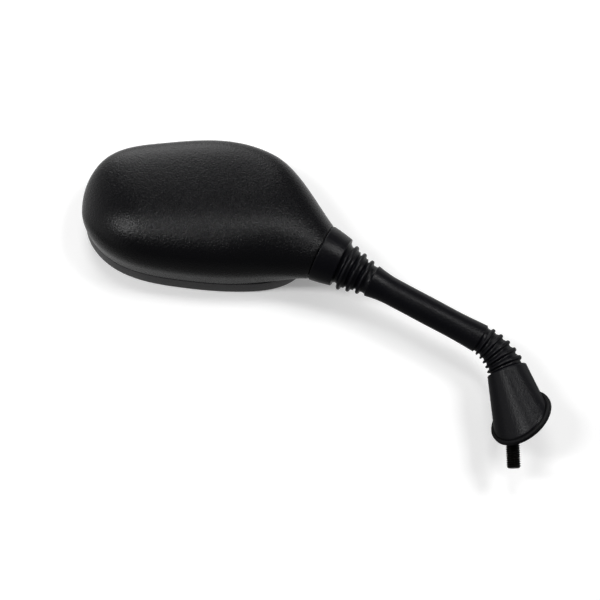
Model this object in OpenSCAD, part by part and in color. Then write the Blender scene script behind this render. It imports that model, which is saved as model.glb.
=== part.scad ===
// Motorcycle mirror with a round-ended head, a ball-jointed steel stem and a one-piece rubber boot.
// Millimetres. The threaded stud points down (-Z) and its axis is the Z axis. The origin is where
// that axis crosses the underside of the oblique base pad. The glass faces +Y, the back of the
// housing faces -Y, and the head reaches out along -X.

/* [Head] */
// Width of the head across the outline of its rim
head_w = 138.4; // [126:0.2:156]
// Height of the head across the outline of its rim
head_h = 85; // [82:1:94]
// How far the outline reaches past the ball, towards the stem
head_past_ball = 15; // [14:0.5:17]
// How far the bottom of the outline lies below the ball
head_below_ball = 23.9; // [23:0.1:25]
// Depth of the housing in front of the ball, at its ridge
ridge_y = 19; // [18.4:0.1:22]
// Wall of the moulded housing
shell_wall = 2.5; // [1.8:0.1:2.8]
// Distance from the ball back to the plane where the housing and the rim part
part_y = 17.5; // [17.4:0.1:19]

/* [Rim and glass] */
// Depth of the rim from the parting plane to its front face
rim_depth = 11.5; // [10:0.5:13]
// How far the rim leans outwards at its front
rim_flare = 1.6; // [0.6:0.1:2.2]
// Wall of the rim
rim_wall = 1.8; // [1.4:0.1:1.9]
// Width of the lip that holds the glass in
rim_lip = 4.4; // [3.8:0.1:5]
// Thickness of the rim's lip
lip_t = 1.6; // [1.2:0.1:2]
// Thickness of the mirror glass
glass_t = 2; // [1.6:0.1:2.4]
// Thickness of the foam pad behind the glass
pad_t = 3; // [2:0.5:3.5]
// Gap between the rim's wall and the glass, pad and backing plate
glass_gap = 0.2; // [0.2:0.1:0.5]

/* [Neck and ball joint] */
// Downward slope of the housing's neck
neck_slope = 27; // [25:1:28]
// Outer radius of the neck at its end
neck_r = 17.15; // [16.8:0.05:17.3]
// Distance from the ball to the end of the neck
neck_reach = 20; // [19:0.5:21]
// Radius of the neck's bore
neck_bore_r = 13.4; // [13.2:0.1:13.8]
// Radius of the spigot that the boot's collar covers
spigot_r = 14.6; // [14.4:0.1:14.8]
// Length of the spigot beyond the neck
spigot_len = 5; // [3:0.5:5]
// Radius of the ball
ball_r = 7; // [6.6:0.1:7.2]
// Thickness of each of the two nylon cups
cup_t = 1.6; // [1.4:0.1:1.7]
// Running clearance of the ball and cups in each other
ball_fit = 0.05; // [0.03:0.01:0.08]
// Radius of the circle that the clamp screws lie on
screw_circle_r = 15; // [14.8:0.1:15.4]
// Radius of a clamp screw's shank
screw_r = 1.25; // [1:0.05:1.3]
// Radius of the lugs round the clamp screws
lug_r = 2.6; // [2.3:0.1:2.8]
// Thickness of the clamp plate
plate_t = 2; // [1.5:0.1:2.4]
// Free height of a clamp spring
spring_h = 5; // [4:0.5:5.5]
// Radius of a clamp spring's wire
spring_wire_r = 0.35; // [0.3:0.01:0.4]

/* [Stem] */
// Radius of the stud, for an M8 thread
stud_r = 4; // [4:0.5:5]
// Length of the stud below the base pad
stud_len = 23.4; // [18:0.5:30]
// Radius of the stem's rod
rod_r = 5; // [4.6:0.1:5.4]
// Radius of the rod where it is swaged down to the ball
swage_r = 4; // [3.6:0.1:4.2]
// Height of the start of the bend above the base
bend_start = 21.8; // [21.5:0.5:26]
// Radius of the bend, to the rod's centre
bend_r = 34; // [30:1:40]
// Angle of the bend
bend_angle = 61; // [58:1:64]
// Length of straight rod from the bend to the ball
stem_straight = 123.5; // [115:0.5:135]
// Width across the flats of the lock nut
nut_flats = 13; // [12:0.5:13.5]
// Height of the lock nut
nut_h = 5; // [4:0.5:6]
// Clearance of the lock nut and its washer round the stud
nut_fit = 0.08; // [0.05:0.01:0.15]

/* [Rubber boot] */
// Radius of the collar against the neck
collar_r = 17.15; // [16.8:0.05:17.3]
// Radius of the collar at its other end
collar_end_r = 15.05; // [14.5:0.05:15.5]
// Length of the collar
collar_len = 13; // [12:0.5:14]
// Radius of the first upper fold, beside the collar
upper_fold_r = 13.95; // [13.4:0.05:14.4]
// Radius of the last upper fold, beside the sleeve
upper_last_r = 10.85; // [10.4:0.05:11.4]
// Spacing of the upper folds
upper_pitch = 5.7; // [5.4:0.1:6]
// Depth of the upper folds
upper_depth = 2.3; // [1.8:0.1:2.6]
// Number of upper folds
upper_folds = 3; // [2:1:4]
// Radius of the sleeve, half way along
sleeve_r = 8.05; // [7.8:0.05:8.6]
// Radius of the sleeve's flared upper lip
sleeve_lip_r = 9.65; // [9.3:0.05:10.2]
// Radius of the first lower fold, beside the sleeve
lower_fold_r = 9; // [8.7:0.05:9.4]
// Radius of the last lower fold, beside the bell
lower_last_r = 10.75; // [10.3:0.05:11.2]
// Spacing of the lower folds
lower_pitch = 4.25; // [4:0.05:4.4]
// Depth of the lower folds
lower_depth = 1.5; // [1.1:0.1:1.7]
// Number of lower folds
lower_folds = 5; // [3:1:5]
// Radius of the top of the bell
bell_top_r = 11.7; // [11.2:0.1:12.4]
// Radius of the bottom of the bell
bell_base_r = 16.8; // [16:0.1:17.6]
// Wall of the bellows
boot_wall = 1.5; // [1.2:0.1:1.6]
// Wall of the bell
bell_wall = 2.2; // [1.8:0.1:2.6]
// Gap between the boot and the spigot that it covers
boot_gap = 0.3; // [0.3:0.1:0.6]
// Gap between the boot's collar and the end of the neck
collar_gap = 0.6; // [0.3:0.1:0.9]

/* [Base pad] */
// Radius of the base pad
pad_r = 19.1; // [18.4:0.1:20]
// Thickness of the base pad
base_t = 2.4; // [2:0.1:3]
// Radius of the opening in the base pad
pad_hole_r = 14.8; // [14.3:0.1:15.6]
// Angle between the base pad's underside and a plane square to the stud
base_tilt = 57; // [50:1:60]
// Direction of the base pad's slope, round the stud
base_turn = 44; // [38:1:50]
// How far the pad's centre lies up its slope from the stud
base_shift = 4.7; // [3:0.1:6]
// How far the pad's centre lies across its slope from the stud
base_across = -5.2; // [-6:0.1:-3]

/* [Hidden] */
$fn = 64;

// Small helpers
function mix(a, b, t) = a + (b - a) * t;
function unit(v) = v / norm(v);
function ease(t) = let(u = min(1, max(0, t))) u * u * (3 - 2 * u);
function spow(c, p) = sign(c) * pow(abs(c), p);
function total(list, i = 0) = i == len(list) - 1 ? list[i] : list[i] + total(list, i + 1);

// Places and directions that follow from the sizes above
bend_len = bend_r * bend_angle * PI / 180;
path_end = bend_len + stem_straight;
ball = [-bend_r * (1 - cos(bend_angle)) - stem_straight * sin(bend_angle), 0,
        bend_start + bend_r * sin(bend_angle) + stem_straight * cos(bend_angle)];
neck_dir = [cos(neck_slope), 0, -sin(neck_slope)];
neck_up = [sin(neck_slope), 0, cos(neck_slope)];
head_centre = [ball.x + head_past_ball - head_w / 2, ball.z - head_below_ball + head_h / 2];
front_y = part_y + rim_depth;

// Outline of the head, as the control points of a closed spline, in halves of its width and height
OUTLINE = [[-1.1, -0.13], [-0.88, 0.88], [-0.34, 0.96], [0.22, 1.06], [0.73, 0.8],
           [1.07, 0.08], [0.91, -0.94], [0.35, -1.03], [-0.18, -0.95], [-0.74, -0.79]];
OUTLINE_N = len(OUTLINE);
NOSE_T = 0.125;
function spline_weights(u) =
    [pow(1 - u, 3), 3 * u * u * u - 6 * u * u + 4, -3 * u * u * u + 3 * u * u + 3 * u + 1, u * u * u] / 6;
function spline_slopes(u) =
    [-pow(1 - u, 2), 3 * u * u - 4 * u, -3 * u * u + 2 * u + 1, u * u] / 2;
function outline_mix(t, w) =
    let(i = floor(t))
    total([for (k = [0:3]) w[k] * OUTLINE[(i - 1 + k + 2 * OUTLINE_N) % OUTLINE_N]]);
function scaled(p) = [p[0] * head_w / 2, p[1] * head_h / 2];
// Point of the outline in x and z at t, where one turn is OUTLINE_N, and its direction of travel
function outline_at(t) = head_centre + scaled(outline_mix(t, spline_weights(t - floor(t))));
function outline_slope(t) = scaled(outline_mix(t, spline_slopes(t - floor(t))));
function outline_in(t, inset) = let(d = unit(outline_slope(t))) outline_at(t) + inset * [d[1], -d[0]];
function outline_loop(inset, n) = [for (i = [0:n - 1]) outline_in(OUTLINE_N * i / n, inset)];

// Edge curves of the housing: the outline from the outer end, then on to the end of the neck
HORN = 0.72;
TOP_T = 3.9;
BOTTOM_T = 6.85;
TOP_PULL = 15;
TOP_PULL_SLOPE = 54;
BOTTOM_PULL = 12;
BOTTOM_PULL_SLOPE = 4;
neck_centre = ball + neck_reach * neck_dir;
function flat(p) = [p.x, p.z];
neck_top = flat(neck_centre + neck_r * neck_up);
neck_bottom = flat(neck_centre - neck_r * neck_up);
function bezier(p, q) = pow(1 - q, 3) * p[0] + 3 * q * pow(1 - q, 2) * p[1]
                        + 3 * q * q * (1 - q) * p[2] + q * q * q * p[3];
TOP_SPAN = TOP_T - NOSE_T;
BOTTOM_SPAN = OUTLINE_N + NOSE_T - BOTTOM_T;
TOP_HORN = [outline_at(TOP_T),
            outline_at(TOP_T) + outline_slope(TOP_T) * TOP_SPAN / HORN * (1 - HORN) / 3,
            neck_top - TOP_PULL * [cos(TOP_PULL_SLOPE), -sin(TOP_PULL_SLOPE)], neck_top];
BOTTOM_HORN = [outline_at(BOTTOM_T),
               outline_at(BOTTOM_T) - outline_slope(BOTTOM_T) * BOTTOM_SPAN / HORN * (1 - HORN) / 3,
               neck_bottom - BOTTOM_PULL * [cos(BOTTOM_PULL_SLOPE), -sin(BOTTOM_PULL_SLOPE)], neck_bottom];
function top_edge(s) = s <= HORN ? outline_at(NOSE_T + TOP_SPAN * s / HORN)
                                 : bezier(TOP_HORN, (s - HORN) / (1 - HORN));
function bottom_edge(s) = s <= HORN ? outline_at(OUTLINE_N + NOSE_T - BOTTOM_SPAN * s / HORN)
                                    : bezier(BOTTOM_HORN, (s - HORN) / (1 - HORN));

// Cross-sections of the housing at s, from 0 at the outer end to 1 at the end of the neck. A section's
// widest line lies at LEVEL_Y. It swells over NOSE_SHARE of the length, more slowly up to SWELL_SHARE,
// and turns into the neck's circle from NECK_SHARE on.
LEVEL_Y = 6;
NOSE_SHARE = 0.34;
SWELL_SHARE = 0.8;
QUICK_SWELL = 0.86;
NECK_SHARE = 0.62;
FRONT_POWER = 2.5;
BACK_POWER = 9;
BACK_OVER = 4;
RIDGE_SKEW = 0.34;
TINY = 0.01;
function neck_share(s) = ease((s - NECK_SHARE) / (1 - NECK_SHARE));
function rise(s) = QUICK_SWELL * sin(90 * min(1, s / NOSE_SHARE))
                   + (1 - QUICK_SWELL) * sin(90 * min(1, s / SWELL_SHARE));
function section_point(s, a, inset) =
    let(top = top_edge(s),
        bottom = bottom_edge(s),
        half = (top - bottom) / 2,
        reach = max(TINY, norm(half) - inset),
        w = neck_share(s),
        level = mix(LEVEL_Y, 0, w),
        front = mix(ridge_y + LEVEL_Y, neck_r, w) * rise(s),
        back = mix(part_y - LEVEL_Y + BACK_OVER, neck_r, w),
        is_front = sin(a) >= 0,
        p = 2 / mix(is_front ? FRONT_POWER : BACK_POWER, 2, w),
        c = spow(cos(a), p),
        v = is_front ? c - mix(RIDGE_SKEW, 0, w) * (1 - c * c) * abs(sin(a)) : c,
        depth = pow(abs(sin(a)), p),
        xz = (top + bottom) / 2 + unit(half) * reach * v,
        y = is_front ? level - max(TINY, front - inset) * depth : level + back * depth)
    [xz[0], min(y, part_y + inset), xz[1]];
function loft_rings(stations, n, inset) =
    [for (s = stations) [for (i = [0:n - 1]) section_point(s, -360 * i / n, inset)]];

// Closed skin over a row of rings, capped at both ends
module skin(rings) {
    n = len(rings[0]);
    m = len(rings);
    sides = [for (j = [0:m - 2]) for (i = [0:n - 1])
        let(k = (i + 1) % n)
        each [[j * n + i, j * n + k, (j + 1) * n + k], [j * n + i, (j + 1) * n + k, (j + 1) * n + i]]];
    first = [for (i = [0:n - 1]) [m * n, (i + 1) % n, i]];
    last = [for (i = [0:n - 1]) [m * n + 1, (m - 1) * n + i, (m - 1) * n + (i + 1) % n]];
    middles = [total(rings[0]) / n, total(rings[m - 1]) / n];
    polyhedron(concat([for (r = rings) each r], middles), concat(sides, first, last));
}

// Closed tube over a row of rings, whose last ring joins the first
module tube(rings) {
    n = len(rings[0]);
    m = len(rings);
    sides = [for (j = [0:m - 1]) for (i = [0:n - 1])
        let(k = (i + 1) % n, up = (j + 1) % m)
        each [[j * n + k, j * n + i, up * n + k], [up * n + k, j * n + i, up * n + i]]];
    polyhedron([for (r = rings) each r], sides);
}

// Puts its child at the ball, with the child's +Z out along the neck or along the stem
module at_neck() translate(ball) rotate([0, 90 + neck_slope, 0]) children();
module at_stem() translate(ball) rotate([0, 180 - bend_angle, 0]) children();

// A flat sheet inside the outline, from y0 to y1
RIM_SIDES = 60;
module sheet(inset, y0, y1) {
    translate([0, y1, 0]) rotate([90, 0, 0]) linear_extrude(y1 - y0)
        polygon(outline_loop(inset, RIM_SIDES));
}

// Where the ball socket's flange meets the housing, out from the ball along the neck
SHOULDER = 3;
SOCKET_FRONT = 6.8;
SOCKET_BACK = 7;
FLANGE_BACK = 1;
SCREW_DEPTH = 8;
HEAD_T = 1.6;
HEAD_R = 2.3;
SCREW_ANGLES = [180, 60, -60];
inner_cup_r = ball_r + ball_fit;
inner_cup_out = inner_cup_r + cup_t;
outer_cup_r = inner_cup_out + ball_fit;
outer_cup_out = outer_cup_r + cup_t;
seat_r = outer_cup_out + ball_fit;
BODY_CLEAR = 0.9;
body_r = screw_circle_r - screw_r - BODY_CLEAR;
plate_back = SOCKET_BACK + plate_t;

// Stations of the housing's sections, close together round its outer end
function stations(first, turns, steps) =
    concat([for (i = [first:turns]) NOSE_SHARE * (1 - cos(90 * i / turns))],
           [for (i = [1:steps]) mix(NOSE_SHARE, 1, i / steps)]);

// Ledge that carries the rim across the root of the neck, between two places along the outline
LEDGE_FROM = 3.3;
LEDGE_TO = 7.4;
LEDGE_STEPS = 24;
LEDGE_IN = 0.7;
LEDGE_W = 3;
LEDGE_H = 3.2;
LEDGE_DROP = 0.1;
module neck_ledge() {
    places = [for (i = [0:LEDGE_STEPS]) mix(LEDGE_FROM, LEDGE_TO, i / LEDGE_STEPS)];
    translate([0, part_y - LEDGE_DROP, 0]) rotate([90, 0, 0]) linear_extrude(LEDGE_H)
        polygon(concat([for (t = places) outline_in(t, LEDGE_IN)],
                       [for (i = [LEDGE_STEPS:-1:0]) outline_in(places[i], LEDGE_IN + LEDGE_W)]));
}

SHELL_SIDES = 40;
CAVITY_SIDES = 28;
CAVITY_SPAN = 150;
SCREW_FIT = 0.05;
POCKET_FIT = 0.15;
POCKET_DEPTH = 0.5;
pocket_back = plate_back + spring_h + HEAD_T + 1;
module housing_shell() color([0.16, 0.16, 0.165]) {
    difference() {
        union() {
            difference() {
                skin(loft_rings(stations(1, 9, 18), SHELL_SIDES, 0));
                intersection() {
                    skin(loft_rings(stations(2, 7, 10), CAVITY_SIDES, shell_wall));
                    at_neck() translate([0, 0, SHOULDER - POCKET_DEPTH - CAVITY_SPAN])
                        cylinder(r = CAVITY_SPAN, h = CAVITY_SPAN, $fn = 8);
                }
            }
            neck_ledge();
            at_neck() translate([0, 0, neck_reach - 1]) cylinder(r = spigot_r, h = spigot_len + 1);
        }
        at_neck() translate([0, 0, -pocket_back])
            cylinder(r = neck_bore_r, h = pocket_back + neck_reach + spigot_len + 1);
        at_neck() translate([0, 0, -pocket_back]) linear_extrude(pocket_back + SHOULDER) lugs(POCKET_FIT);
        at_screws() translate([0, 0, SHOULDER - 1]) cylinder(r = screw_r + SCREW_FIT, h = SCREW_DEPTH + 2);
    }
}

// Rim round the glass: a ring whose section leans out to the front and turns in as a lip
RIM_FOOT = 1;
RIM_EDGE = 1.5;
RIM_ROUND = 0.9;
module front_rim() color([0.2, 0.2, 0.205]) {
    section = [[0, part_y], [0, part_y + RIM_FOOT], [-rim_flare, front_y - RIM_ROUND - RIM_EDGE],
               [RIM_ROUND / 3 - rim_flare, front_y - RIM_ROUND], [RIM_ROUND * 4 / 3 - rim_flare, front_y],
               [rim_lip - RIM_ROUND, front_y], [rim_lip, front_y - RIM_ROUND],
               [rim_lip, front_y - lip_t], [rim_wall, front_y - lip_t], [rim_wall, part_y]];
    tube([for (p = section) [for (q = outline_loop(p[0], RIM_SIDES)) [q[0], p[1], q[1]]]]);
}

glass_front = front_y - lip_t;
glass_back = glass_front - glass_t;
pad_back = glass_back - pad_t;
PLATE_T = 2.4;
SKIRT_W = 2;
PAD_IN = 0.6;
module mirror_glass() color([0.75, 0.79, 0.82]) sheet(rim_wall + glass_gap, glass_back, glass_front);
module glass_pad() color([0.25, 0.25, 0.25]) sheet(rim_wall + glass_gap + PAD_IN, pad_back, glass_back);
module backing_plate() color([0.12, 0.12, 0.12]) {
    difference() {
        sheet(rim_wall + glass_gap, part_y, pad_back);
        sheet(rim_wall + glass_gap + SKIRT_W, part_y - 1, pad_back - PLATE_T);
    }
}

// Ball joint, drawn out along the neck from the ball's centre
module at_screws() at_neck()
    for (a = SCREW_ANGLES) rotate([0, 0, a]) translate([screw_circle_r, 0, 0]) children();
module lugs(fit) {
    r = lug_r + fit;
    for (a = SCREW_ANGLES) rotate(a) {
        translate([0, -r]) square([screw_circle_r, 2 * r]);
        translate([screw_circle_r, 0]) circle(r = r);
    }
}
module lugged_disc(r, z0, z1) {
    translate([0, 0, z0]) linear_extrude(z1 - z0) {
        circle(r = r);
        lugs(0);
    }
}
BORE_FIT = 0.1;
OUTER_CUP_END = 3.5;
INNER_CUP_END = 3;
PLATE_FIT = 0.15;
module cup(r_in, r_out, front) {
    difference() {
        sphere(r = r_out);
        sphere(r = r_in);
        translate([0, 0, front]) cylinder(r = 2 * r_out, h = 2 * r_out);
    }
}
module ball_socket() color([0.85, 0.84, 0.8]) {
    difference() {
        at_neck() difference() {
            union() {
                translate([0, 0, SHOULDER])
                    cylinder(r = neck_bore_r - BORE_FIT, h = SOCKET_FRONT - SHOULDER);
                lugged_disc(neck_bore_r - BORE_FIT, -FLANGE_BACK, SHOULDER);
                translate([0, 0, -SOCKET_BACK]) cylinder(r = body_r, h = SOCKET_BACK);
            }
            sphere(r = seat_r);
            translate([0, 0, -SOCKET_BACK - 1]) cylinder(r = seat_r, h = SOCKET_BACK + 1);
        }
        at_screws() translate([0, 0, -FLANGE_BACK - 1])
            cylinder(r = screw_r + SCREW_FIT, h = FLANGE_BACK + SHOULDER + 2);
    }
}
module outer_cup() color([0.93, 0.92, 0.88]) at_neck() cup(outer_cup_r, outer_cup_out, OUTER_CUP_END);
module inner_cup() color([0.9, 0.9, 0.86]) at_stem() cup(inner_cup_r, inner_cup_out, INNER_CUP_END);
module clamp_plate() color([0.65, 0.66, 0.68]) {
    difference() {
        at_neck() difference() {
            lugged_disc(body_r, -plate_back, -SOCKET_BACK);
            sphere(r = seat_r);
        }
        at_screws() translate([0, 0, -plate_back - 1]) cylinder(r = screw_r + PLATE_FIT, h = plate_t + 2);
    }
}
module clamp_screws() color([0.7, 0.7, 0.72]) at_screws() {
    translate([0, 0, -plate_back - spring_h - HEAD_T]) cylinder(r = HEAD_R, h = HEAD_T);
    translate([0, 0, -plate_back - spring_h - HEAD_T / 2])
        cylinder(r = screw_r, h = HEAD_T / 2 + plate_back + spring_h + SHOULDER + SCREW_DEPTH);
}
SPRING_TURNS = 4;
SPRING_STEPS = 40;
SPRING_SIDES = 5;
SPRING_FIT = 0.3;
SPRING_END = 0.02;
module clamp_spring(a) color([0.6, 0.6, 0.62]) {
    coil_r = screw_r + SPRING_FIT + spring_wire_r;
    rise = spring_h - 2 * (spring_wire_r + SPRING_END);
    at_neck() rotate([0, 0, a])
        translate([screw_circle_r, 0, -plate_back - spring_wire_r - SPRING_END])
            skin([for (i = [0:SPRING_STEPS])
                let(b = 360 * SPRING_TURNS * i / SPRING_STEPS, z = -rise * i / SPRING_STEPS)
                [for (k = [0:SPRING_SIDES - 1])
                    let(c = 360 * k / SPRING_SIDES, r = coil_r + spring_wire_r * cos(c))
                    [r * cos(b), r * sin(b), z + spring_wire_r * sin(c)]]]);
}

// Stem: threaded stud with a relief groove where the pad ends, bent rod, and straight rods swaged
// down to the ball. The straight rods are drawn ROD_STEP thinner than the bend and run into it.
thread_top = 20;
SWAGE_END = 28;
SWAGE_START = 34;
CHAMFER = 0.8;
RELIEF_Z = 0.5;
RELIEF_H = 1.2;
RELIEF_DEPTH = 0.7;
ROD_STEP = 0.05;
BEND_LAP = 1;
straight_r = rod_r - ROD_STEP;
relief_r = stud_r - RELIEF_DEPTH;
module stem() color([0.13, 0.13, 0.14]) {
    rotate_extrude()
        polygon([[0, -stud_len], [stud_r - CHAMFER, -stud_len], [stud_r, CHAMFER - stud_len],
                 [stud_r, RELIEF_Z], [relief_r, RELIEF_Z], [relief_r, RELIEF_Z + RELIEF_H],
                 [stud_r, RELIEF_Z + RELIEF_H], [stud_r, thread_top], [straight_r, thread_top],
                 [straight_r, bend_start + BEND_LAP], [0, bend_start + BEND_LAP]]);
    translate([-bend_r, 0, bend_start]) rotate([90, 0, 0])
        rotate_extrude(angle = bend_angle) translate([bend_r, 0]) circle(r = rod_r);
    at_stem() {
        sphere(r = ball_r);
        rotate_extrude()
            polygon([[0, 0], [swage_r, 0], [swage_r, SWAGE_END], [straight_r, SWAGE_START],
                     [straight_r, stem_straight + BEND_LAP], [0, stem_straight + BEND_LAP]]);
    }
}
WASHER_T = 1.6;
WASHER_R = 7.5;
NUT_CHAMFER = 0.7;
nut_corner_r = nut_flats / sqrt(3);
module lock_nut() color([0.55, 0.56, 0.58]) translate([0, 0, thread_top - nut_h]) {
    difference() {
        intersection() {
            cylinder(r = nut_corner_r, h = nut_h, $fn = 6);
            rotate_extrude() polygon([[0, 0], [nut_flats / 2, 0], [nut_corner_r, NUT_CHAMFER],
                [nut_corner_r, nut_h - NUT_CHAMFER], [nut_flats / 2, nut_h], [0, nut_h]]);
        }
        translate([0, 0, -1]) cylinder(r = stud_r + nut_fit, h = nut_h + 2);
    }
}
module nut_washer() color([0.6, 0.6, 0.62]) translate([0, 0, thread_top - nut_h - WASHER_T]) {
    difference() {
        cylinder(r = WASHER_R, h = WASHER_T);
        translate([0, 0, -1]) cylinder(r = stud_r + nut_fit, h = WASHER_T + 2);
    }
}

// Base pad's own frame: its lower face's normal, its way up the slope and its way across it
base_down = [sin(base_tilt) * cos(base_turn), sin(base_tilt) * sin(base_turn), -cos(base_tilt)];
base_up = [cos(base_tilt) * cos(base_turn), cos(base_tilt) * sin(base_turn), sin(base_tilt)];
base_side = [-sin(base_turn), cos(base_turn), 0];
base_centre = base_shift * base_up + base_across * base_side;

PAD_LOWER_EDGE = 0.5;
PAD_UPPER_EDGE = 0.7;
module base_pad() color([0.22, 0.22, 0.225]) {
    c = base_centre;
    multmatrix([[base_up.x, base_side.x, -base_down.x, c.x], [base_up.y, base_side.y, -base_down.y, c.y],
                [base_up.z, base_side.z, -base_down.z, c.z]])
        rotate_extrude() polygon([[pad_hole_r, 0], [pad_r - PAD_LOWER_EDGE, 0], [pad_r, PAD_LOWER_EDGE],
                                  [pad_r, base_t - PAD_UPPER_EDGE], [pad_r - PAD_UPPER_EDGE, base_t],
                                  [pad_hole_r, base_t]]);
}

// The boot follows the stem by its distance along the rod from the start of the bend
function path_centre(s) =
    s < 0 ? [0, 0, bend_start + s] :
    s < bend_len ? let(f = s / bend_len * bend_angle)
                   [-bend_r * (1 - cos(f)), 0, bend_start + bend_r * sin(f)] :
    ball + (path_end - s) * [sin(bend_angle), 0, -cos(bend_angle)];
function path_turn(s) = bend_angle * min(1, max(0, s / bend_len));

// Places along the boot, by that distance: the bell's top, the last lower fold, the sleeve's two
// lips, the last upper fold and the collar. The collar is centred on the neck, the rest on the rod.
BELL_S = 10.1;
LOWER_S = 14.2;
LOWER_LIP_S = 34.4;
LIP_TO_FOLD = 4.5;
FOLD_TO_COLLAR = 4.6;
COLLAR_BLEND = 5;
collar_s = path_end - neck_reach - collar_gap - collar_len;
upper_lip_s = collar_s - FOLD_TO_COLLAR - upper_pitch * (upper_folds - 1) - LIP_TO_FOLD;
function boot_centre(s) =
    mix(path_centre(s), ball + (path_end - s) * neck_dir, ease((s - collar_s) / COLLAR_BLEND + 1));
function boot_turn(s) =
    mix(path_turn(s), 90 - neck_slope, ease((s - upper_lip_s) / (collar_s - upper_lip_s)));
BOOT_SIDES = 30;
function ring_at(c, u, v, r) =
    [for (i = [0:BOOT_SIDES - 1]) let(a = 360 * i / BOOT_SIDES) c + r * (cos(a) * u + sin(a) * v)];
function boot_ring(p) =
    let(t = boot_turn(p[0])) ring_at(boot_centre(p[0]), [cos(t), 0, sin(t)], [0, 1, 0], p[1]);

// Profile of a bellows, as distance and radius, from valley to crest to valley round each fold
FOLD = [[-0.5, 1], [-0.3, 0.62], [-0.14, 0.12], [0.14, 0.12], [0.3, 0.62]];
function fold_r(r0, r1, i, folds) = mix(r0, r1, folds > 1 ? i / (folds - 1) : 0);
function bellows(s0, pitch, folds, r0, r1, depth) =
    [for (i = [0:folds - 1]) for (f = FOLD)
        [s0 + pitch * (i + f[0]), fold_r(r0, r1, i, folds) - depth * f[1]]];
// The same folds from inside, from the far end back, drawn with a crest and a valley each
VALLEY_EASE = 0.2;
function bellows_inside(s0, pitch, folds, r0, r1, depth) =
    [for (i = [folds - 1:-1:0]) let(r = fold_r(r0, r1, i, folds) - boot_wall)
        each [[s0 + pitch * i, r], [s0 + pitch * (i - 0.5), r - depth + VALLEY_EASE]]];

upper_s = upper_lip_s + LIP_TO_FOLD;
lower_outer = bellows(LOWER_S, lower_pitch, lower_folds, lower_last_r, lower_fold_r, lower_depth);
upper_outer = bellows(upper_s, upper_pitch, upper_folds, upper_last_r, upper_fold_r, upper_depth);
SLEEVE_SWELL = 0.5;
LIP_LEN = 0.8;
EDGE_LEN = 0.6;
LOWER_FLARE_LEN = 11;
UPPER_FLARE_LEN = 19;
FOOT_LEN = 1.5;
sleeve_end_r = sleeve_r + SLEEVE_SWELL;
sleeve_outer = [[LOWER_LIP_S - FOOT_LEN, lower_fold_r - lower_depth],
                [LOWER_LIP_S, mix(sleeve_r, sleeve_end_r, 0.5)],
                [LOWER_LIP_S + LIP_LEN, sleeve_end_r],
                [LOWER_LIP_S + 5 * LIP_LEN, mix(sleeve_r, sleeve_end_r, 0.7)],
                [LOWER_LIP_S + LOWER_FLARE_LEN, mix(sleeve_r, sleeve_end_r, 0.1)],
                [mix(LOWER_LIP_S, upper_lip_s, 0.5), sleeve_r],
                [upper_lip_s - UPPER_FLARE_LEN, sleeve_r],
                [upper_lip_s - UPPER_FLARE_LEN / 2, mix(sleeve_r, sleeve_end_r, 0.5)],
                [upper_lip_s - 5 * LIP_LEN, mix(sleeve_end_r, sleeve_lip_r, 0.4)],
                [upper_lip_s - EDGE_LEN, sleeve_lip_r],
                [upper_lip_s, sleeve_lip_r - EDGE_LEN / 2],
                [upper_lip_s + LIP_LEN, sleeve_end_r]];
COLLAR_SWELL = 0.15;
collar_outer = [[collar_s - FOOT_LEN, collar_end_r - upper_depth],
                [collar_s - EDGE_LEN / 2, collar_end_r - upper_depth / 2],
                [collar_s + EDGE_LEN, collar_end_r - COLLAR_SWELL],
                [collar_s + 3 * EDGE_LEN, collar_end_r],
                [collar_s + collar_len / 2, mix(collar_r, collar_end_r, 0.5) + COLLAR_SWELL],
                [collar_s + collar_len - EDGE_LEN, collar_r],
                [collar_s + collar_len, collar_r - EDGE_LEN]];
collar_bore = spigot_r + boot_gap;
ROD_FIT = 0.08;
sleeve_bore = rod_r + ROD_FIT;
SPIGOT_CLEAR = 1;
END_WALL = 2;
collar_inside = [[collar_s + collar_len, collar_bore],
                 [path_end - neck_reach - spigot_len - SPIGOT_CLEAR, collar_bore],
                 [collar_s + 2 * EDGE_LEN, collar_end_r - END_WALL]];
sleeve_inside = [[upper_lip_s - 5 * EDGE_LEN, sleeve_bore],
                 [mix(LOWER_LIP_S, upper_lip_s, 0.2), sleeve_bore],
                 [LOWER_LIP_S + END_WALL, sleeve_bore],
                 [LOWER_LIP_S - FOOT_LEN, lower_fold_r - lower_depth - boot_wall]];
inside = concat(collar_inside,
                bellows_inside(upper_s, upper_pitch, upper_folds, upper_last_r, upper_fold_r, upper_depth),
                sleeve_inside,
                bellows_inside(LOWER_S, lower_pitch, lower_folds, lower_last_r, lower_fold_r, lower_depth),
                [[BELL_S - EDGE_LEN, bell_top_r - bell_wall]]);

// The bell runs obliquely from a ring square to the rod down to the base pad
bell_u = let(t = path_turn(BELL_S), u = [cos(t), 0, sin(t)]) unit(u - (u * base_down) * base_down);
bell_v = cross(bell_u, base_down);
function base_ring(r) = ring_at(base_centre - base_t * base_down, bell_u, bell_v, r);
function between(a, b, t) = [for (i = [0:BOOT_SIDES - 1]) mix(a[i], b[i], t)];
BELL_LIP = 0.7;
module boot() color([0.11, 0.11, 0.115]) {
    top = boot_ring([BELL_S, bell_top_r]);
    bottom = base_ring(bell_base_r);
    bottom_inside = base_ring(bell_base_r - bell_wall);
    profile = concat([[BELL_S, bell_top_r], [BELL_S + BELL_LIP, bell_top_r - BELL_LIP]],
                     lower_outer, sleeve_outer, upper_outer, collar_outer, inside);
    tube(concat([bottom, between(bottom, top, 0.06), between(bottom, top, 0.4), between(bottom, top, 0.75)],
                [for (p = profile) boot_ring(p)],
                [between(bottom_inside, boot_ring([BELL_S, bell_top_r - bell_wall]), 0.5), bottom_inside]));
}

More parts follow.
